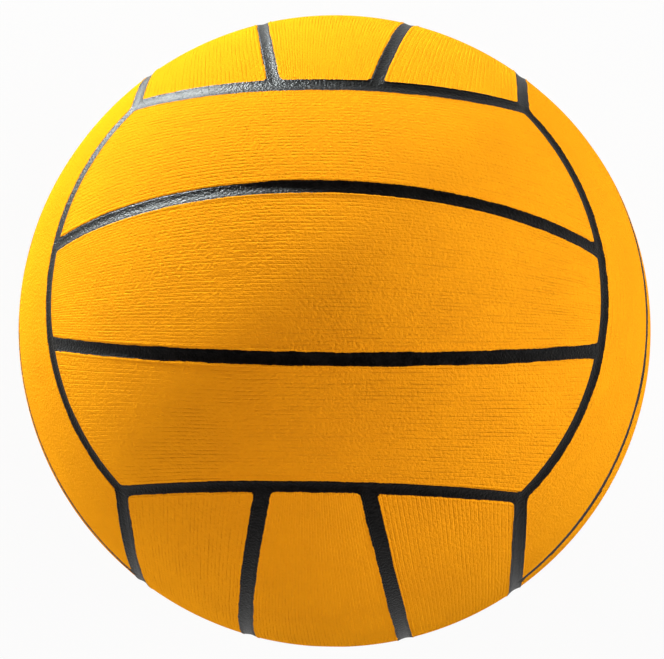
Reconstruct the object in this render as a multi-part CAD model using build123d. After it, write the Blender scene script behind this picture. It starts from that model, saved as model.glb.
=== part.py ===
from build123d import *
import os
from math import asin, degrees, radians, sqrt, tan

# Water polo ball: eighteen cover panels bonded to a ribbed carcass, over a wound and valved bladder.
# Millimetres. The origin is the centre of the ball, and the valve faces -Y. Widths across the cover
# are arcs on its surface, from the middle of one channel to the middle of the next.

# Cover
BALL_DIAMETER = 216.0
COVER_THICKNESS = 1.4
CHANNEL_WIDTH = 3.6
PANEL_LIP_RADIUS = 0.6
MIDDLE_PANEL_WIDTH = 52.8

# Layers under the cover
CARCASS_THICKNESS = 0.5
RIB_HEIGHT = 1.1
WINDING_THICKNESS = 0.5
BLADDER_THICKNESS = 0.5
BOND_GAP = 0.15

# Valve core
NEEDLE_DIAMETER = 2.0
CORE_WALL = 2.0
CORE_LENGTH = 19.0
CORE_HEAD_LEDGE = 1.0
CORE_HEAD_THICKNESS = 1.8
FUNNEL_LIP = 0.6
FUNNEL_DEPTH = 0.6
SLIT_LENGTH = 3.4
SLIT_WIDTH = 2.4
SLIT_OPENING = 0.2

# Valve housing
CORE_CLEARANCE = 0.1
CORE_RECESS = 0.5
HOUSING_WALL = 1.4
HOUSING_RECESS = 0.3
CORE_END_ROOM = 1.0
HOUSING_END_THICKNESS = 1.5
AIR_HOLE_DIAMETER = 3.0
FLANGE_WIDTH = 14.5
FLANGE_THICKNESS = 1.0

# Radii of the layers, from the outside in
BALL_RADIUS = BALL_DIAMETER / 2
COVER_INSIDE = BALL_RADIUS - COVER_THICKNESS
CARCASS_SEAT = COVER_INSIDE - BOND_GAP
CHANNEL_FLOOR = CARCASS_SEAT + RIB_HEIGHT
CARCASS_INSIDE = CARCASS_SEAT - CARCASS_THICKNESS
WINDING_OUTSIDE = CARCASS_INSIDE - BOND_GAP
WINDING_INSIDE = WINDING_OUTSIDE - WINDING_THICKNESS
BLADDER_OUTSIDE = WINDING_INSIDE - BOND_GAP
BLADDER_INSIDE = BLADDER_OUTSIDE - BLADDER_THICKNESS
FLANGE_OUTSIDE = BLADDER_INSIDE - BOND_GAP
FLANGE_INSIDE = FLANGE_OUTSIDE - FLANGE_THICKNESS

# Diameters about the valve's axis, from the needle out
CORE_DIAMETER = NEEDLE_DIAMETER + 2 * CORE_WALL
CORE_HEAD_DIAMETER = CORE_DIAMETER + 2 * CORE_HEAD_LEDGE
FUNNEL_DIAMETER = NEEDLE_DIAMETER + 2 * FUNNEL_LIP
POCKET_DIAMETER = CORE_DIAMETER + 2 * CORE_CLEARANCE
HEAD_ROOM_DIAMETER = CORE_HEAD_DIAMETER + 2 * CORE_CLEARANCE
HOUSING_DIAMETER = HEAD_ROOM_DIAMETER + 2 * HOUSING_WALL
VALVE_HOLE_DIAMETER = HOUSING_DIAMETER + 2 * BOND_GAP
FLANGE_DIAMETER = HOUSING_DIAMETER + 2 * FLANGE_WIDTH

# Distances from the ball's centre along the valve's axis, from the mouth in
HOUSING_MOUTH = BALL_RADIUS - HOUSING_RECESS
CORE_TOP = HOUSING_MOUTH - CORE_RECESS
NEEDLE_MOUTH = CORE_TOP - FUNNEL_DEPTH
CORE_HEAD_SEAT = CORE_TOP - CORE_HEAD_THICKNESS
CORE_END = CORE_TOP - CORE_LENGTH
NEEDLE_END = CORE_END + SLIT_LENGTH
POCKET_END = CORE_END - CORE_END_ROOM
HOUSING_END = POCKET_END - HOUSING_END_THICKNESS

# Three faces meet at each corner of the cover, so every face ends on circles this far from the equator.
FACE_EDGE_LATITUDE = degrees(asin(1 / sqrt(3)))
MIDDLE_PANEL_ANGLE = degrees(MIDDLE_PANEL_WIDTH / BALL_RADIUS)
REACH = 2 * BALL_DIAMETER

# The face that is modelled looks along -Y, with its strips along X. Each entry turns it into place
# and names the strips that its upper, middle and lower strips become.
FACES = {
    "top": (Rot(-90, 0, 0), ("back", "middle", "front")),
    "bottom": (Rot(90, 0, 0), ("front", "middle", "back")),
    "front": (Rot(0, -90, 0), ("left", "middle", "right")),
    "back": (Rot(0, 0, 180) * Rot(0, -90, 0), ("right", "middle", "left")),
    "right": (Rot(0, 0, 90), ("upper", "middle", "lower")),
    "left": (Rot(0, 0, -90), ("upper", "middle", "lower")),
}
VALVE_STRIP = "front_middle"
VALVE_PLACE = Rot(90, 0, 0)
ON_BASE = (Align.CENTER, Align.CENTER, Align.MIN)


def shell(inside, outside):
    """The space between two spheres about the ball's centre."""
    return Sphere(outside) - Sphere(inside)


def centre_cone(direction, half_angle):
    """A cone that opens from the ball's centre."""
    base_radius = REACH * tan(radians(half_angle))
    return Solid.make_cone(0, base_radius, REACH, Plane((0, 0, 0), z_dir=direction))


def face_strips(inside, outside, seam_width):
    """The upper, middle and lower strips of one face, between two radii, with seams of one width."""
    half_seam = degrees(seam_width / 2 / BALL_RADIUS)
    end_angle = 90 - FACE_EDGE_LATITUDE - half_seam
    side_angle = 90 - FACE_EDGE_LATITUDE + half_seam
    face = shell(inside, outside) & centre_cone((0, -1, 0), end_angle)
    cuts = []
    for side in (1, -1):
        cuts.append(centre_cone((0, 0, side), side_angle))
        cuts.append(Rot(side * MIDDLE_PANEL_ANGLE / 2, 0, 0) * Box(REACH, REACH, seam_width))
    strips = face - cuts
    return sorted(strips.solids(), key=lambda strip: -strip.center().Z)


def cover_strips():
    """The three panels of one face, with their corners and the lips of their channels rounded."""
    panels = []
    for strip in face_strips(COVER_INSIDE, BALL_RADIUS, CHANNEL_WIDTH):
        bonded = strip.faces().sort_by(SortBy.AREA)[-2].edges()
        rounded = [edge for edge in strip.edges() if edge not in bonded]
        panels.append(strip.fillet(PANEL_LIP_RADIUS, rounded))
    return panels


def valve_cylinder(diameter, inner_end, outer_end):
    """A cylinder on the valve's axis, between two distances from the ball's centre."""
    cylinder = Cylinder(diameter / 2, outer_end - inner_end, align=ON_BASE)
    return VALVE_PLACE * Pos(0, 0, inner_end) * cylinder


def valve_hole():
    """What is cut from the layers that the housing's neck passes through."""
    return valve_cylinder(VALVE_HOLE_DIAMETER, HOUSING_END, BALL_DIAMETER)


def cover_panels():
    """All eighteen panels by name, the one at the valve with its hole."""
    strips = cover_strips()
    panels = {}
    for face, (turn, names) in FACES.items():
        for name, strip in zip(names, strips):
            panels[f"{face}_{name}"] = turn * strip
    panels[VALVE_STRIP] -= valve_hole()
    return panels


def carcass():
    """A rubber ball with a rib under every channel, standing up between the panels."""
    pockets = face_strips(CARCASS_SEAT, BALL_RADIUS, CHANNEL_WIDTH - 2 * BOND_GAP)
    body = shell(CARCASS_INSIDE, CHANNEL_FLOOR)
    for turn, _ in FACES.values():
        body -= [turn * pocket for pocket in pockets]
    return body - valve_hole()


def thread_winding():
    """The wound yarn, as the layer that it packs down to."""
    return shell(WINDING_INSIDE, WINDING_OUTSIDE) - valve_hole()


def bladder():
    """The air bladder."""
    return shell(BLADDER_INSIDE, BLADDER_OUTSIDE) - valve_hole()


def valve_housing():
    """A flange under the bladder, a neck out to the cover, and a pocket that the core fits."""
    flange = valve_cylinder(FLANGE_DIAMETER, HOUSING_END, BALL_RADIUS) & shell(FLANGE_INSIDE, FLANGE_OUTSIDE)
    neck = valve_cylinder(HOUSING_DIAMETER, HOUSING_END, BALL_RADIUS) & Sphere(HOUSING_MOUTH)
    head_room = valve_cylinder(HEAD_ROOM_DIAMETER, CORE_HEAD_SEAT - CORE_CLEARANCE, BALL_RADIUS)
    pocket = valve_cylinder(POCKET_DIAMETER, POCKET_END, BALL_RADIUS)
    air_hole = valve_cylinder(AIR_HOLE_DIAMETER, 0, BALL_RADIUS)
    return flange + neck - head_room - pocket - air_hole


def valve_core():
    """The plug: a head, a round stem with the needle's hole, and a slit that air is pumped through."""
    head = valve_cylinder(CORE_HEAD_DIAMETER, CORE_HEAD_SEAT, CORE_TOP)
    stem = valve_cylinder(CORE_DIAMETER, CORE_END, CORE_TOP)
    needle_hole = valve_cylinder(NEEDLE_DIAMETER, NEEDLE_END, CORE_TOP)
    funnel = Cone(NEEDLE_DIAMETER / 2, FUNNEL_DIAMETER / 2, FUNNEL_DEPTH, align=ON_BASE)
    slit = Box(SLIT_WIDTH, SLIT_OPENING, SLIT_LENGTH, align=ON_BASE)
    cuts = [VALVE_PLACE * Pos(0, 0, NEEDLE_MOUTH) * funnel, VALVE_PLACE * Pos(0, 0, CORE_END) * slit]
    return head + stem - needle_hole - cuts


pieces = {f"{name}_panel": panel for name, panel in cover_panels().items()}
pieces["carcass"] = carcass()
pieces["thread_winding"] = thread_winding()
pieces["bladder"] = bladder()
pieces["valve_housing"] = valve_housing()
pieces["valve_core"] = valve_core()

os.makedirs("parts", exist_ok=True)
for node, piece in pieces.items():
    export_step(piece, f"parts/{node}.step")
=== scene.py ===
import math

import bmesh
import bpy
import numpy as np
from mathutils import Euler, Matrix, Vector


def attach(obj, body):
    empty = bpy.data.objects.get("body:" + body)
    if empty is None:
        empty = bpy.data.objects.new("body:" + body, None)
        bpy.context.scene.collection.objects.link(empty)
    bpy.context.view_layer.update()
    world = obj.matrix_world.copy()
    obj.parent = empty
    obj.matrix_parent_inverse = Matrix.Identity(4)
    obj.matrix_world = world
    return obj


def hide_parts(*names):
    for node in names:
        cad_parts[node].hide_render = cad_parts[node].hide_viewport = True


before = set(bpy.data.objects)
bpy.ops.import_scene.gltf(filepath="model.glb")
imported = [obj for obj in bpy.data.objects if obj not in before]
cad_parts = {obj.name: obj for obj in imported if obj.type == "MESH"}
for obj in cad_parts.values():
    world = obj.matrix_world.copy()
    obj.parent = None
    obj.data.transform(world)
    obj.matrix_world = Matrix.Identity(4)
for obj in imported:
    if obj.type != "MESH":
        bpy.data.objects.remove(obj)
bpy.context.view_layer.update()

# Water polo ball. Lengths are in millimetres until a mesh is filled, and the origin is the ball's centre.
MILLIMETRE = 0.001
BALL = 108.0
COVER_UNDERSIDE = 106.6
CARCASS_SEAT = 106.45
CARCASS_INSIDE = 105.95
MIDDLE_PANEL_WIDTH = 52.8
HALF_CHANNEL = 1.8
RIB_HALF_WIDTH = 1.77
CHANNEL_DEPTH = 0.34
CHANNEL_REACH = 2.6

# The raised bead that the mould leaves along every lip.
BEAD_HEIGHT = 0.15
BEAD_CREST = 2.65
BEAD_HALF_WIDTH = 0.5

# The bevel at the foot of a panel's wall: how far in it starts and how far up it ends.
FOOT_BEVEL_IN = 0.15
FOOT_BEVEL_UP = 0.12

# The hole for the valve, with its rounded rim.
VALVE_STRIP = ("front", "middle")
VALVE_HOLE_RADIUS = 5.65
VALVE_RIM_ROUNDING = 0.5

# Three faces meet at each corner of the cover. Inner seams are great circles, and face edges are circles.
EDGE_LATITUDE = math.asin(1 / math.sqrt(3))
SEAM_ANGLE = MIDDLE_PANEL_WIDTH / BALL / 2
SEAM_TURN = math.asin(math.tan(SEAM_ANGLE) / math.sqrt(2))

# How many points each run of a loop has: the end of an outer strip, the end of a middle strip, a long side.
OUTER_END_POINTS = 38
MIDDLE_END_POINTS = 22
SIDE_POINTS = 2 * OUTER_END_POINTS + MIDDLE_END_POINTS

# Where a strip has its rows: insets over the lip and the border, heights up the wall, and shares of the way
# inwards.
LIP_END = 3.2
LIP_STEP = 0.09
BORDER = 6.5
BORDER_INSETS = (3.5, 4.0, 5.0, BORDER)
WALL_HEIGHTS = (0.6, 1.1)
OUTSIDE_SHARES = np.linspace(0, 1, 26)
UNDERSIDE_SHARES = np.linspace(0, 1, 6)
CARCASS_SHARES = (0, 0.33, 0.67, 1)
RIB_ROWS = 8
ROUNDING_ROWS = 4

# How far short of a strip's ends its middle line stops, as a share of its length.
LINE_SETBACK = 0.14

# Points of a mesh that lie this close are merged.
MERGE_DISTANCE = 0.002

# How far the brushed paint reaches from a channel's middle line: inner seams by face, and edges by their two
# faces.
SEAM_PAINT = {"top": 2.1, "front": 2.47, "back": 1.95}
EDGE_PAINT = {
    ("back", "top"): 2.7,
    ("front", "top"): 1.95,
    ("right", "top"): 2.3,
    ("left", "top"): 2.05,
    ("front", "left"): 2.8,
    ("front", "right"): 2.65,
}
USUAL_PAINT = 2.25

# How the paint's edge runs: rounded in the corners, wavering, brushed and speckled, with a soft half width.
PAINT_ROUNDING = 0.45
PAINT_WAVER = 0.7
PAINT_BRUSHING = 0.6
PAINT_SPECKLE = 0.25
PAINT_EDGE = 0.1

# The black paint. Heights of relief are in millimetres here and below.
DEEP_BLACK = (0.001, 0.001, 0.001, 1.0)
BRUSHED_BLACK = (0.007, 0.0065, 0.006, 1.0)
PAINT_GRAIN_HEIGHT = 0.4
PAINT_STREAK_HEIGHT = 0.08
PAINT_ROUGHNESS = 0.46
PAINT_GLOSS = 0.12

# The yellow rubber: its furrows, whose wander is counted in pitches, its pebbles, and the painted shade that
# darkens its hollows.
DEEP_YELLOW = (0.83, 0.315, 0.008, 1.0)
BRIGHT_YELLOW = (0.88, 0.34, 0.008, 1.0)
# The browner colour painted into the furrows and pebble hollows is painted shade.
HOLLOW_SHADE_BROWN = (0.6, 0.16, 0.008, 1.0)
FURROW_PITCH = 1.15
FURROW_WANDER = 1.1
FURROW_FLUTTER = 0.15
FURROW_DEPTH = 0.27
FAINT_FURROWS = 0.65
STREAKS_ALONG = 0.06
STREAKS_ACROSS = 0.9
PEBBLE_HEIGHT = 0.62
PEBBLE_SHADE_SHIFT = 1.6
HOLLOW_SHADE_SHARE = 0.14
RUBBER_ROUGHNESS = 0.72

# The valve's rubber.
SEAT_BLACK = (0.012, 0.012, 0.013, 1.0)
SEAT_GREY = (0.03, 0.03, 0.031, 1.0)
PLUG_BLACK = (0.03, 0.03, 0.03, 1.0)
PLUG_GREY = (0.07, 0.068, 0.066, 1.0)
TURNING_MARK_PITCH = 0.7
TURNING_MARK_HEIGHT = 0.006
VALVE_GRAIN_HEIGHT = 0.03
VALVE_ROUGHNESS = 0.5
VALVE_GLOSS = 0.35

# The yarn, wound in turns square to these ways, and the bladder.
# The yarn's darker colour is painted shade between its turns.
YARN_PAINTED_SHADE = (0.3, 0.26, 0.19, 1.0)
YARN_CREAM = (0.68, 0.63, 0.52, 1.0)
YARN_WAYS = ((0.6, 0.2, 0.77), (-0.5, 0.8, 0.33), (0.25, -0.7, 0.67))
YARN_PITCH = 1.1
YARN_WANDER = 2.0
YARN_HEIGHT = 0.12
YARN_FUZZ_HEIGHT = 0.04
YARN_ROUGHNESS = 0.7
BUTYL_BLACK = (0.014, 0.014, 0.015, 1.0)
BUTYL_DUST = (0.06, 0.06, 0.062, 1.0)
BUTYL_GRAIN_HEIGHT = 0.05
BUTYL_ROUGHNESS = 0.62

# The studio's sweep: a floor with a bend up all round it, and the share of glow in what is seen of it.
FLOOR_REACH = 4500.0
BEND_RADIUS = 1200.0
FLOOR_ROWS = 10
BEND_ROWS = 8
SWEEP_POINTS = 96
PLAIN_WHITE = (1.0, 1.0, 1.0, 1.0)
SWEEP_GREY = (0.5, 0.5, 0.5, 1.0)
SWEEP_GLOW = 0.94

# The studio's light: how far off its lamps stand, in metres, its ceiling's level, and what a lamp can give.
LAMP_DISTANCE = 1.0
CEILING_LEVEL = 0.02
WHITE = (1.0, 1.0, 1.0)
COOL = (0.93, 1.0, 1.0)
WARM = (1.0, 0.76, 0.7)
SOFT_LIGHT = "soft light"
GLINTS = "glints"

# The camera: its distance in metres, its tip, lean and turn from straight above in degrees, its lens and
# sensor in millimetres, and the picture's shift in pixels.
CAMERA_DISTANCE = 0.72973
CAMERA_ANGLES = (9.6505, 2.9788, 1.2572)
CAMERA_LENS = 114.44
SENSOR_WIDTH = 36.0
PICTURE_WIDTH = 664
SHIFT_RIGHT = -2.807
SHIFT_UP = 1.53
SIGHT = 100.0


def turned(axis, degrees):
    """The matrix that turns by some degrees about an axis."""
    return np.array(Matrix.Rotation(math.radians(degrees), 3, axis))


# The face that is worked out looks along -Y, with its strips along X. Each entry turns it into place and
# names the strips that its upper, middle and lower strips become.
FACES = {
    "top": (turned("X", -90), ("back", "middle", "front")),
    "bottom": (turned("X", 90), ("front", "middle", "back")),
    "front": (turned("Y", -90), ("left", "middle", "right")),
    "back": (turned("Z", 180) @ turned("Y", -90), ("right", "middle", "left")),
    "right": (turned("Z", 90), ("upper", "middle", "lower")),
    "left": (turned("Z", -90), ("upper", "middle", "lower")),
}
HALF_TURN = turned("Y", 180)
FACE_WAYS = {
    "top": (0, 0, 1),
    "bottom": (0, 0, -1),
    "front": (0, -1, 0),
    "back": (0, 1, 0),
    "right": (1, 0, 0),
    "left": (-1, 0, 0),
}


def strips_in_place():
    """Every strip of the cover: its face, its name, its kind, and the turn that puts it in place. The lower
    strip is the upper one after half a turn."""
    for face, (turn, names) in FACES.items():
        yield face, names[0], "outer", turn
        yield face, names[1], "middle", turn
        yield face, names[2], "outer", turn @ HALF_TURN


class Side:
    """One side of a strip: the circle axis . p = level on a ball of radius one, moved in by an inset."""

    def __init__(self, axis, latitude, inward):
        self.axis = np.array(axis, float)
        self.latitude = latitude
        self.inward = inward

    def level(self, inset):
        """How far along its axis the side's circle lies at one inset."""
        return math.sin(self.latitude + self.inward * inset / BALL)

    def distance(self, points):
        """How far points of the unit ball are from the side's circle, along the cover."""
        heights = np.arcsin(np.clip(points @ self.axis, -1, 1))
        return (heights - self.latitude) * self.inward * BALL


def inner_seam(angle, hand):
    """The side of a strip on an inner seam, which is the great circle through the X axis at this angle."""
    return Side((0, hand * math.sin(angle), hand * math.cos(angle)), 0.0, 1)


END = Side((0, -1, 0), EDGE_LATITUDE, 1)
SIDES = {
    "outer": (inner_seam(SEAM_ANGLE, 1), Side((0, 0, -1), -EDGE_LATITUDE, 1)),
    "middle": (inner_seam(-SEAM_ANGLE, 1), inner_seam(SEAM_ANGLE, -1)),
}
STRIP_WIDTHS = {"outer": BALL * (EDGE_LATITUDE - SEAM_ANGLE), "middle": BALL * 2 * SEAM_ANGLE}
EVEN_SHARES = np.arange(SIDE_POINTS) / SIDE_POINTS
EDGE_SPLIT = 0.5 - SEAM_TURN / (math.pi / 2)
EDGE_SHARES = np.interp(
    np.arange(SIDE_POINTS),
    (0, OUTER_END_POINTS, OUTER_END_POINTS + MIDDLE_END_POINTS, SIDE_POINTS),
    (0, EDGE_SPLIT, 1 - EDGE_SPLIT, 1),
)
FAR_SHARES = {"outer": EDGE_SHARES, "middle": EVEN_SHARES}
END_SHARES = {
    "outer": np.arange(OUTER_END_POINTS) / OUTER_END_POINTS,
    "middle": np.arange(MIDDLE_END_POINTS) / MIDDLE_END_POINTS,
}


def crossing(side, end, inset, hand):
    """Where a side's circle meets an end's: both levels hold and the length is one, on one hand of X."""
    cosine = side.axis @ end.axis
    levels = np.array([side.level(inset), end.level(inset)])
    parts = np.linalg.solve([[1, cosine], [cosine, 1]], levels)
    foot = parts[0] * side.axis + parts[1] * end.axis
    across = np.cross(side.axis, end.axis)
    reach = math.sqrt((1 - foot @ foot) / (across @ across)) * across
    return foot + reach * math.copysign(1, hand * reach[0])


def arc(side, inset, start, stop, shares):
    """Points of a side's circle, turned about its axis from start by shares of the way to stop."""
    middle = side.level(inset) * side.axis
    first = start - middle
    second = np.cross(side.axis, first)
    turn = math.atan2((stop - middle) @ second, (stop - middle) @ first)
    angles = (turn * shares)[:, None]
    return middle + np.cos(angles) * first + np.sin(angles) * second


def strip_loop(strip, inset):
    """The closed loop that runs round a strip at one inset from the middle lines of its channels."""
    near, far = SIDES[strip]
    left_near, right_near = (crossing(near, END, inset, hand) for hand in (-1, 1))
    left_far, right_far = (crossing(far, END, inset, hand) for hand in (-1, 1))
    return np.concatenate([
        arc(near, inset, left_near, right_near, EVEN_SHARES),
        arc(END, inset, right_near, right_far, END_SHARES[strip]),
        arc(far, inset, right_far, left_far, FAR_SHARES[strip]),
        arc(END, inset, left_far, left_near, END_SHARES[strip]),
    ])


def middle_line(strip):
    """The line halfway between a strip's long sides that its loops close up to, one point for each point of
    a loop."""
    loop = strip_loop(strip, BORDER)
    ends = len(END_SHARES[strip])
    near_side = loop[: SIDE_POINTS + 1]
    far_side = loop[SIDE_POINTS + ends : 2 * SIDE_POINTS + ends + 1][::-1]
    middle = near_side + far_side
    along = LINE_SETBACK + (1 - 2 * LINE_SETBACK) * EVEN_SHARES
    right_end = np.full(ends, 1 - LINE_SETBACK)
    left_end = np.full(ends, LINE_SETBACK)
    places = np.concatenate([along, right_end, 1 - along, left_end])
    grid = np.linspace(0, 1, SIDE_POINTS + 1)
    line = np.stack([np.interp(places, grid, middle[:, axis]) for axis in range(3)], axis=1)
    return line / np.linalg.norm(line, axis=1, keepdims=True)


def hole_rim(loop, rim, radius):
    """The rim of a round hole about -Y, as directions at one distance from the ball's centre."""
    angles = np.arctan2(loop[:, 2], loop[:, 0])
    out = rim / radius
    low = np.full(len(loop), -math.sqrt(1 - out * out))
    return np.stack([out * np.cos(angles), low, out * np.sin(angles)], axis=1)


def strip_surface(strip, rows, has_hole):
    """Loops over a strip. A row is (inset, share, radius, rim): the loop at that inset, moved by that share
    of the way to the strip's middle line or to the rim of its hole, then set at that radius."""
    line = middle_line(strip)
    loops = []
    for inset, share, radius, rim in rows:
        loop = strip_loop(strip, inset)
        heart = hole_rim(loop, rim, radius) if has_hole else line
        place = (1 - share) * loop + share * heart
        loops.append(radius * place / np.linalg.norm(place, axis=1, keepdims=True))
    return np.array(loops)


def cover_height(inset):
    """How far the outside is from the ball's centre at one inset: the channel's hollow, whose depth falls off
    as (1 - x^2)^2 out to its reach, and the lip's bead, which rises and falls in the same way about its
    crest."""
    hollow = max(1 - (inset / CHANNEL_REACH) ** 2, 0) ** 2
    rise = max(1 - ((inset - BEAD_CREST) / BEAD_HALF_WIDTH) ** 2, 0) ** 2
    return BALL - CHANNEL_DEPTH * hollow + BEAD_HEIGHT * rise


def panel_rows(has_hole):
    """A panel's section: out along its underside, up the wall, over the lip and its bead, and back inwards. A
    hole's rim is a quarter circle."""
    rows = [(BORDER, share, COVER_UNDERSIDE, VALVE_HOLE_RADIUS) for share in UNDERSIDE_SHARES[::-1]]
    rows.append((HALF_CHANNEL + FOOT_BEVEL_IN, 0, COVER_UNDERSIDE, 0))
    rows += [(HALF_CHANNEL, 0, COVER_UNDERSIDE + up, 0) for up in (FOOT_BEVEL_UP, *WALL_HEIGHTS)]
    for inset in (*np.arange(HALF_CHANNEL, LIP_END, LIP_STEP), *BORDER_INSETS):
        rows.append((inset, 0, cover_height(inset), 0))
    rim = VALVE_HOLE_RADIUS + VALVE_RIM_ROUNDING
    rows += [(BORDER, share, BALL, rim) for share in OUTSIDE_SHARES[1:]]
    if has_hole:
        for angle in np.linspace(math.pi / 2, 0, ROUNDING_ROWS + 1)[1:]:
            down = VALVE_RIM_ROUNDING * (1 - math.sin(angle))
            out = VALVE_RIM_ROUNDING * (1 - math.cos(angle))
            rows.append((BORDER, 1, BALL - down, VALVE_HOLE_RADIUS + out))
    return rows


def carcass_rows():
    """The carcass under one strip: its inside from the middle out, then its rib's hollow top and its seat."""
    inside = [(BORDER, share, CARCASS_INSIDE, VALVE_HOLE_RADIUS) for share in CARCASS_SHARES[::-1]]
    inside.append((0, 0, CARCASS_INSIDE, 0))
    outside = []
    for inset in np.linspace(0, RIB_HALF_WIDTH, RIB_ROWS):
        outside.append((inset, 0, cover_height(inset), 0))
    outside.append((RIB_HALF_WIDTH, 0, CARCASS_SEAT, 0))
    outside += [(BORDER, share, CARCASS_SEAT, VALVE_HOLE_RADIUS) for share in CARCASS_SHARES]
    return inside, outside


def strip_quads(row_count, point_count, wrap, skip=None):
    """Four-cornered faces between neighbouring loops, all round them, and from the last loop to the first
    where they wrap. A row of faces that is skipped stays open."""
    rows = np.arange(row_count if wrap else row_count - 1)
    rows = rows[rows != skip] if skip is not None else rows
    here, there = np.meshgrid(rows, np.arange(point_count), indexing="ij")
    below = here * point_count
    above = (here + 1) % row_count * point_count
    beside = (there + 1) % point_count
    return np.stack([below + there, below + beside, above + beside, above + there], axis=-1).reshape(-1, 4)


def edge_paint(face, way):
    """How far the paint reaches from the edge between a face and the face that lies that way from it."""
    beyond = max(FACE_WAYS, key=lambda other: float(np.dot(FACE_WAYS[other], way)))
    return EDGE_PAINT.get((face, beyond), EDGE_PAINT.get((beyond, face), USUAL_PAINT))


def strip_place(strip, face, turn, directions):
    """Each point's place in millimetres: along its strip, across it as the share of the way from side to
    side, and out from the paint's edge, as a soft least of the distances to the sides less the paint's reach
    there."""
    near_gap, far_gap = (side.distance(directions) for side in SIDES[strip])
    along = BALL * np.arcsin(np.clip(directions[:, 0], -1, 1))
    across = STRIP_WIDTHS[strip] * near_gap / (near_gap + far_gap)
    seam = SEAM_PAINT.get(face, USUAL_PAINT)
    left_end, right_end = (edge_paint(face, turn[:, 0] * hand) for hand in (-1, 1))
    clear = np.stack([
        near_gap - seam,
        far_gap - (seam if strip == "middle" else edge_paint(face, turn[:, 2])),
        END.distance(directions) - np.where(directions[:, 0] < 0, left_end, right_end),
    ])
    least = clear.min(axis=0)
    margin = least - PAINT_ROUNDING * np.log(np.exp(-(clear - least) / PAINT_ROUNDING).sum(axis=0))
    return np.stack([along, across, margin], axis=1)


def fill_mesh(name, points, quads, places=None):
    """A smooth mesh of whole arrays: points in millimetres, quads, and a place for each point."""
    mesh = bpy.data.meshes.new(name)
    mesh.vertices.add(len(points))
    mesh.vertices.foreach_set("co", (points * MILLIMETRE).astype(np.float32).ravel())
    mesh.loops.add(quads.size)
    mesh.loops.foreach_set("vertex_index", quads.astype(np.int32).ravel())
    mesh.polygons.add(len(quads))
    mesh.polygons.foreach_set("loop_start", np.arange(0, quads.size, 4, dtype=np.int32))
    mesh.update(calc_edges=True)
    if places is not None:
        layer = mesh.attributes.new("strip_place", "FLOAT_VECTOR", "POINT")
        layer.data.foreach_set("vector", places.astype(np.float32).ravel())
    shape = bmesh.new()
    shape.from_mesh(mesh)
    bmesh.ops.remove_doubles(shape, verts=shape.verts, dist=MERGE_DISTANCE * MILLIMETRE)
    shape.to_mesh(mesh)
    shape.free()
    mesh.polygons.foreach_set("use_smooth", np.ones(len(mesh.polygons), dtype=bool))
    mesh.update()
    piece = bpy.data.objects.new(name, mesh)
    bpy.context.scene.collection.objects.link(piece)
    return piece


def cover_panel(face, name, strip, turn):
    """One panel of the cover, turned from the worked-out face into its place."""
    has_hole = (face, name) == VALVE_STRIP
    loops = strip_surface(strip, panel_rows(has_hole), has_hole)
    points = loops.reshape(-1, 3)
    directions = points / np.linalg.norm(points, axis=1, keepdims=True)
    quads = strip_quads(loops.shape[0], loops.shape[1], has_hole)
    places = strip_place(strip, face, turn, directions)
    return fill_mesh(f"{face}_{name}_cover", points @ turn.T, quads, places)


def channel_net():
    """The carcass, with the black hollow channels that its ribs make: eighteen strips, closed up into one."""
    inside, outside = carcass_rows()
    all_points = []
    all_quads = []
    count = 0
    for face, name, strip, turn in strips_in_place():
        has_hole = (face, name) == VALVE_STRIP
        loops = strip_surface(strip, inside + outside, has_hole)
        all_points.append(loops.reshape(-1, 3) @ turn.T)
        quads = strip_quads(loops.shape[0], loops.shape[1], has_hole, skip=len(inside) - 1)
        all_quads.append(quads + count)
        count += loops.shape[0] * loops.shape[1]
    return fill_mesh("channel_net", np.concatenate(all_points), np.concatenate(all_quads))


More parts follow.
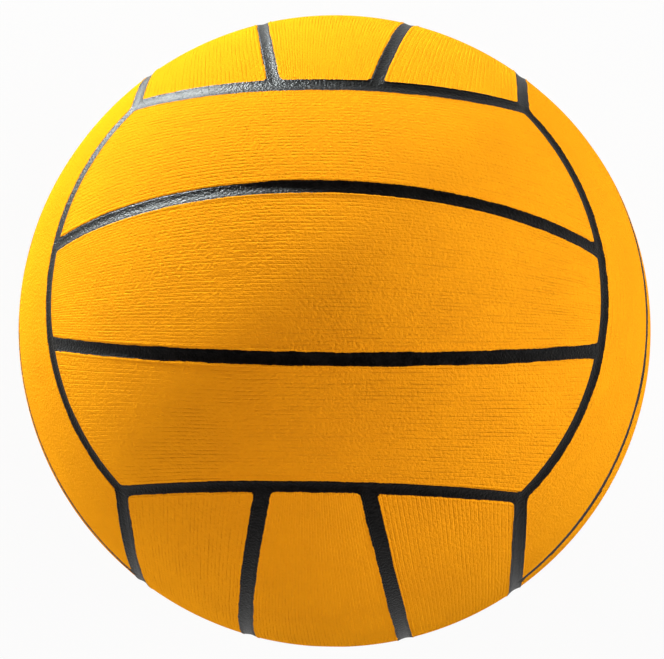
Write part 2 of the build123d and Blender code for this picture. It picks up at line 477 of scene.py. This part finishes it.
class Socket:
    """An output in a finish's nodes. Sums on it add Math nodes, and node() adds a node of any other kind."""

    def __init__(self, tree, output=None):
        self.tree = tree
        self.output = output

    def node(self, kind, settings=None, inputs=None, output=0):
        """A node of one kind: its settings first, then the values or links of its sockets."""
        made = self.tree.nodes.new("ShaderNode" + kind)
        for name, value in (settings or {}).items():
            setattr(made, name, value)
        for place, value in (inputs or {}).items():
            if isinstance(value, Socket):
                self.tree.links.new(value.output, made.inputs[place])
            else:
                made.inputs[place].default_value = value
        return Socket(self.tree, made.outputs[output] if made.outputs else None)

    def spot(self):
        """The spot on the ball, in metres from its centre."""
        return self.node("TexCoord", output="Object")

    def other(self, name):
        """Another output of the same node."""
        return Socket(self.tree, self.output.node.outputs[name])

    def maths(self, operation, *terms):
        """A Math node on these terms."""
        return self.node("Math", {"operation": operation}, dict(enumerate(terms)))

    def __add__(self, term):
        return self.maths("ADD", self, term)

    def __sub__(self, term):
        return self.maths("SUBTRACT", self, term)

    def __rsub__(self, term):
        return self.maths("SUBTRACT", term, self)

    def __mul__(self, term):
        return self.maths("MULTIPLY", self, term)

    def __truediv__(self, term):
        return self.maths("DIVIDE", self, term)

    __radd__ = __add__
    __rmul__ = __mul__

    def larger(self, term):
        """The larger of the two."""
        return self.maths("MAXIMUM", self, term)

    def wave(self):
        """A zigzag from 0 at whole numbers to 1 halfway between them."""
        return 2 * self.maths("PINGPONG", self, 0.5)

    def sine(self, pitch):
        """A sine of this distance in metres, with its pitch in millimetres."""
        return self.maths("SINE", self * (2 * math.pi / (pitch * MILLIMETRE)))

    def ramp(self, low, high):
        """A smooth step from 0 at low to 1 at high."""
        return self.node("MapRange", {"interpolation_type": "SMOOTHSTEP"}, {0: self, 1: low, 2: high})

    def blend(self, first, second):
        """The colour that this share of the way from the first to the second gives."""
        return self.node("Mix", {"data_type": "RGBA"}, {0: self, 6: first, 7: second}, output=2)

    def noise(self, per_metre, detail=2.0, roughness=0.5):
        """Soft noise about zero, from this place, with so many lumps to the metre."""
        inputs = {"Vector": self, "Scale": per_metre, "Detail": detail, "Roughness": roughness}
        return self.node("TexNoise", None, inputs) - 0.5

    def relief(self):
        """The normal that this height in millimetres gives."""
        return self.node("Bump", None, {"Strength": 1.0, "Distance": MILLIMETRE, "Height": self})


def new_finish(name):
    """An empty material and the bench that its nodes are made on."""
    material = bpy.data.materials.new(name)
    material.use_nodes = True
    material.node_tree.nodes.clear()
    return material, Socket(material.node_tree)


def black_paint(bench, spot):
    """The thick black paint in the channels: near black, half gloss, with brush grain that sparkles."""
    grain = spot.noise(per_metre=1300, detail=2.0, roughness=0.6)
    streaks = spot.noise(per_metre=330, detail=3.0, roughness=0.6)
    height = PAINT_GRAIN_HEIGHT * grain + PAINT_STREAK_HEIGHT * streaks
    inputs = {
        "Base Color": (streaks + grain).ramp(-0.3, 0.4).blend(DEEP_BLACK, BRUSHED_BLACK),
        "Roughness": PAINT_ROUGHNESS + 0.3 * grain,
        "Specular IOR Level": PAINT_GLOSS,
        "Normal": height.relief(),
    }
    return bench.node("BsdfPrincipled", None, inputs)


def furrows(bench, spot, along, across):
    """Fine furrows along a strip, from 0 to 1: a wave across it that wanders a little, deep in some streaks
    and patches and faint in others."""
    wander = spot.noise(per_metre=30)
    flutter = spot.noise(per_metre=300, detail=1.0)
    phase = across / FURROW_PITCH + FURROW_WANDER * wander + FURROW_FLUTTER * flutter
    stretched = {"X": along * STREAKS_ALONG, "Y": across * STREAKS_ACROSS, "Z": wander}
    streaks = bench.node("CombineXYZ", None, stretched).noise(per_metre=1.0, detail=2.0, roughness=0.6)
    patches = spot.noise(per_metre=35, detail=1.0).ramp(-0.2, 0.2)
    strength = streaks.ramp(-0.3, 0.25) * (FAINT_FURROWS + (1 - FAINT_FURROWS) * patches)
    return phase.wave().ramp(0.5, 1.0) * strength


def yellow_rubber(bench, spot, cut):
    """Pebbled yellow rubber with furrows cut into it, with painted shade that makes its hollows a little
    browner. It has no gloss.
    """
    pebbles = spot.noise(per_metre=1100, detail=2.0, roughness=0.6)
    height = PEBBLE_HEIGHT * pebbles - FURROW_DEPTH * cut
    worn = spot.noise(per_metre=55, detail=3.0).ramp(-0.3, 0.3)
    # The furrows and pebble hollows are painted darker and browner here: painted shade.
    hollow = (cut - PEBBLE_SHADE_SHIFT * pebbles).ramp(0.0, 1.0)
    inputs = {
        "Base Color": (HOLLOW_SHADE_SHARE * hollow).blend(worn.blend(DEEP_YELLOW, BRIGHT_YELLOW), HOLLOW_SHADE_BROWN),
        "Roughness": RUBBER_ROUGHNESS + 0.2 * pebbles,
        "Specular IOR Level": 0.0,
        "Normal": height.relief(),
    }
    return bench.node("BsdfPrincipled", None, inputs)


def cover_rubber():
    """Yellow moulded rubber with fine furrows along each strip, painted black into the channels."""
    material, bench = new_finish("yellow_grip_rubber")
    spot = bench.spot()
    material.cycles.use_bump_map_correction = False
    place = bench.node("Attribute", {"attribute_name": "strip_place"}, output="Vector")
    along = bench.node("SeparateXYZ", None, {"Vector": place})
    across = along.other("Y")
    margin = along.other("Z")
    waver = PAINT_WAVER * spot.noise(per_metre=75, detail=1.0)
    brushing = PAINT_BRUSHING * spot.noise(per_metre=330, detail=3.0, roughness=0.6)
    speckle = PAINT_SPECKLE * spot.noise(per_metre=1500, detail=1.0)
    bare = (margin + waver + brushing + speckle).ramp(-PAINT_EDGE, PAINT_EDGE)
    rubber = yellow_rubber(bench, spot, furrows(bench, spot, along, across))
    both = bench.node("MixShader", None, {0: 1 - bare, 1: rubber, 2: black_paint(bench, spot)})
    bench.node("OutputMaterial", None, {"Surface": both})
    return material


def channel_rubber():
    """The channels' floor and the carcass under the panels."""
    material, bench = new_finish("black_channel_rubber")
    bench.node("OutputMaterial", None, {"Surface": black_paint(bench, bench.spot())})
    return material


def valve_rubber(name, dark, light):
    """Moulded valve rubber with fine turning marks, a sine of the distance from the valve's axis."""
    material, bench = new_finish(name)
    spot = bench.spot()
    flat = bench.node("VectorMath", {"operation": "MULTIPLY"}, {0: spot, 1: (1, 0, 1)})
    out = bench.node("VectorMath", {"operation": "LENGTH"}, {0: flat}, output="Value")
    grain = spot.noise(per_metre=1800)
    mottle = spot.noise(per_metre=500)
    height = TURNING_MARK_HEIGHT * out.sine(TURNING_MARK_PITCH) + VALVE_GRAIN_HEIGHT * grain
    inputs = {
        "Base Color": mottle.ramp(-0.3, 0.3).blend(dark, light),
        "Roughness": VALVE_ROUGHNESS + 0.3 * mottle,
        "Specular IOR Level": VALVE_GLOSS,
        "Normal": height.relief(),
    }
    shader = bench.node("BsdfPrincipled", None, inputs)
    bench.node("OutputMaterial", None, {"Surface": shader})
    return material


def winding_yarn():
    """Waxed nylon yarn, wound over the bladder in crossing turns: the largest of three sines."""
    material, bench = new_finish("waxed_winding_yarn")
    spot = bench.spot()
    wander = YARN_WANDER * MILLIMETRE * spot.noise(per_metre=25)
    turns = []
    for way in YARN_WAYS:
        reach = bench.node("VectorMath", {"operation": "DOT_PRODUCT"}, {0: spot, 1: way}, output="Value")
        turns.append((reach + wander).sine(YARN_PITCH))
    upper = turns[0].larger(turns[1]).larger(turns[2])
    fuzz = spot.noise(per_metre=2600)
    height = YARN_HEIGHT * upper + YARN_FUZZ_HEIGHT * fuzz
    inputs = {
        # Darker where the yarn dips between its turns: painted shade.
        "Base Color": upper.ramp(-0.2, 1.0).blend(YARN_PAINTED_SHADE, YARN_CREAM),
        "Roughness": YARN_ROUGHNESS + 0.2 * fuzz,
        "Normal": height.relief(),
    }
    shader = bench.node("BsdfPrincipled", None, inputs)
    bench.node("OutputMaterial", None, {"Surface": shader})
    return material


def bladder_butyl():
    """Dull black butyl with a dusting of moulding powder."""
    material, bench = new_finish("dusted_butyl")
    spot = bench.spot()
    dust = spot.noise(per_metre=90, detail=4.0, roughness=0.6)
    grain = spot.noise(per_metre=900)
    height = BUTYL_GRAIN_HEIGHT * grain
    inputs = {
        "Base Color": dust.ramp(-0.1, 0.35).blend(BUTYL_BLACK, BUTYL_DUST),
        "Roughness": BUTYL_ROUGHNESS + 0.3 * dust,
        "Normal": height.relief(),
    }
    shader = bench.node("BsdfPrincipled", None, inputs)
    bench.node("OutputMaterial", None, {"Surface": shader})
    return material


def sweep_paint():
    """White studio paint, which glows where it is seen and is grey where it only passes light on."""
    material, bench = new_finish("white_studio_paint")
    paint = bench.node("BsdfDiffuse", None, {"Color": SWEEP_GREY})
    glow = bench.node("Emission", None, {"Color": PLAIN_WHITE, "Strength": 1.0})
    path = bench.node("LightPath", output="Is Camera Ray")
    seen = path.larger(path.other("Is Glossy Ray")).larger(path.other("Is Transmission Ray"))
    both = bench.node("MixShader", None, {0: SWEEP_GLOW * seen, 1: paint, 2: glow})
    bench.node("OutputMaterial", None, {"Surface": both})
    return material


def studio_sweep():
    """A white floor that curves up all round: a profile of floor and quarter circle, carried round the
    upright axis. It keeps a soft shadow."""
    floor = np.linspace(0, FLOOR_REACH, FLOOR_ROWS)
    bend = np.linspace(0, math.pi / 2, BEND_ROWS + 1)[1:]
    outs = np.concatenate([floor, FLOOR_REACH + BEND_RADIUS * np.sin(bend)])
    ups = np.concatenate([np.zeros(FLOOR_ROWS), BEND_RADIUS * (1 - np.cos(bend))]) - BALL
    angles = np.linspace(0, 2 * math.pi, SWEEP_POINTS, endpoint=False)
    points = np.stack([
        np.outer(outs, np.cos(angles)),
        np.outer(outs, np.sin(angles)),
        np.repeat(ups[:, None], SWEEP_POINTS, axis=1),
    ], axis=-1)
    quads = strip_quads(len(outs), SWEEP_POINTS, False)[:, ::-1]
    sweep = fill_mesh("studio_sweep", points.reshape(-1, 3), quads)
    sweep.data.materials.append(sweep_paint())


def dim_ceiling():
    """A low even light from above the studio's walls."""
    world = bpy.data.worlds.new("dim_ceiling")
    world.use_nodes = True
    world.node_tree.nodes.clear()
    bench = Socket(world.node_tree)
    background = bench.node("Background", None, {"Color": PLAIN_WHITE, "Strength": CEILING_LEVEL})
    bench.node("OutputWorld", None, {"Surface": background})
    bpy.context.scene.world = world


def softbox(name, azimuth, elevation, width, height, watts, tint, gives=SOFT_LIGHT):
    """An area lamp that faces the ball, at angles in degrees from +X and above the ball's middle. It gives
    either soft light or glints."""
    around = math.radians(azimuth)
    up = math.radians(elevation)
    direction = Vector((math.cos(around) * math.cos(up), math.sin(around) * math.cos(up), math.sin(up)))
    light = bpy.data.lights.new(name, "AREA")
    light.shape = "RECTANGLE"
    light.size = width
    light.size_y = height
    light.energy = watts
    light.color = tint
    lamp = bpy.data.objects.new(name, light)
    lamp.location = direction * LAMP_DISTANCE
    lamp.rotation_euler = (-direction).to_track_quat("-Z", "Y").to_euler()
    lamp.visible_camera = False
    lamp.visible_diffuse = gives == SOFT_LIGHT
    lamp.visible_glossy = gives == GLINTS
    bpy.context.scene.collection.objects.link(lamp)


def overhead_camera():
    """The camera above the ball, a little towards the valve's side and to the right."""
    camera = bpy.data.cameras.new("overhead_camera")
    camera.sensor_width = SENSOR_WIDTH
    camera.lens = CAMERA_LENS
    camera.shift_x = SHIFT_RIGHT / PICTURE_WIDTH
    camera.shift_y = SHIFT_UP / PICTURE_WIDTH
    camera.clip_end = SIGHT
    holder = bpy.data.objects.new("overhead_camera", camera)
    aim = Euler([math.radians(angle) for angle in CAMERA_ANGLES]).to_matrix().to_4x4()
    holder.matrix_world = aim @ Matrix.Translation((0, 0, CAMERA_DISTANCE))
    bpy.context.scene.collection.objects.link(holder)
    bpy.context.scene.camera = holder


overhead_camera()

cover_finish = cover_rubber()
for face, name, strip, turn in strips_in_place():
    panel = cover_panel(face, name, strip, turn)
    panel.data.materials.append(cover_finish)
    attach(panel, "ball")
    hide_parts(f"{face}_{name}_panel")

net = channel_net()
net.data.materials.append(channel_rubber())
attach(net, "ball")
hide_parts("carcass")

inner_finishes = {
    "thread_winding": winding_yarn(),
    "bladder": bladder_butyl(),
    "valve_housing": valve_rubber("valve_seat_rubber", SEAT_BLACK, SEAT_GREY),
    "valve_core": valve_rubber("valve_plug_rubber", PLUG_BLACK, PLUG_GREY),
}
for node, finish in inner_finishes.items():
    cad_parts[node].material_slots[0].material = finish

studio_sweep()
dim_ceiling()
softbox("key_softbox", azimuth=133, elevation=5, width=0.25, height=0.2, watts=17.0, tint=COOL)
softbox("upper_left_softbox", azimuth=108, elevation=12, width=0.3, height=0.25, watts=5.0, tint=COOL)
softbox("lower_left_softbox", azimuth=220, elevation=-2, width=0.5, height=0.2, watts=6.9, tint=WHITE)
softbox("right_softbox", azimuth=0, elevation=25, width=0.5, height=0.5, watts=7.9, tint=COOL)
softbox("low_right_softbox", azimuth=35, elevation=0, width=0.5, height=0.18, watts=2.6, tint=WHITE)
softbox("high_front_softbox", azimuth=318, elevation=68, width=0.5, height=0.5, watts=4.3, tint=WARM)
softbox(
    "glint_softbox", azimuth=128, elevation=-3, width=0.2, height=0.08, watts=57.0, tint=COOL, gives=GLINTS
)
bpy.context.scene.view_settings.view_transform = "Standard"
